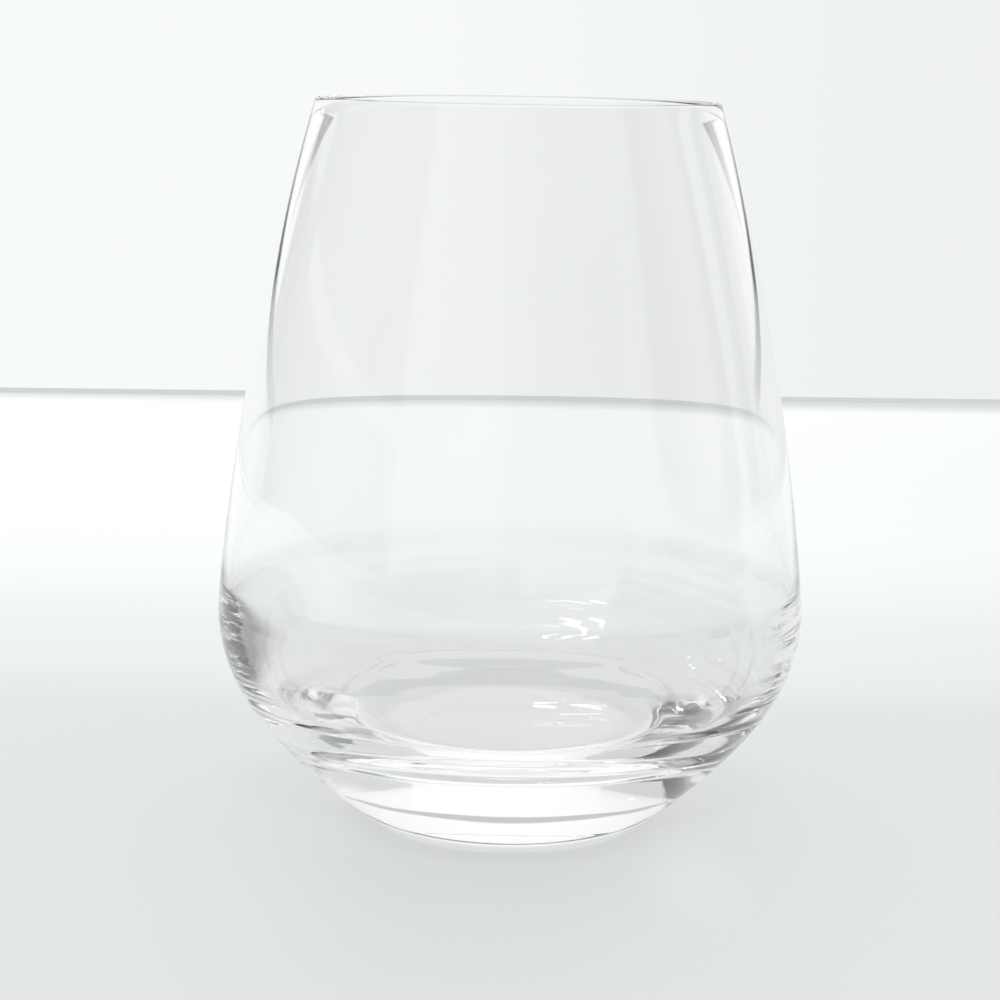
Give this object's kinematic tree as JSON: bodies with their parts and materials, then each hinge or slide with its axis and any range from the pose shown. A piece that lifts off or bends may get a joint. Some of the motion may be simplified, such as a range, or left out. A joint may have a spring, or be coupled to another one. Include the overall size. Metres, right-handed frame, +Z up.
{
  "type": "stemless wine glass",
  "caption": "Clear stemless wine glass: thin wall widening down to a low rounded belly, tapering to a small thick solid base with a flat foot ring.",
  "frame": {"origin": "middle of the foot, on the surface that the glass stands on", "axes": "+Z up along the glass's axis of revolution, through the open mouth; X and Y are alike because the glass is round"},
  "size_m": [0.096, 0.096, 0.1185],
  "materials": {
    "clear_glass": "fire-polished, colourless and fully clear"
  },
  "bodies": {
    "root": {"glass": "clear_glass"}
  },
  "joints": []
}
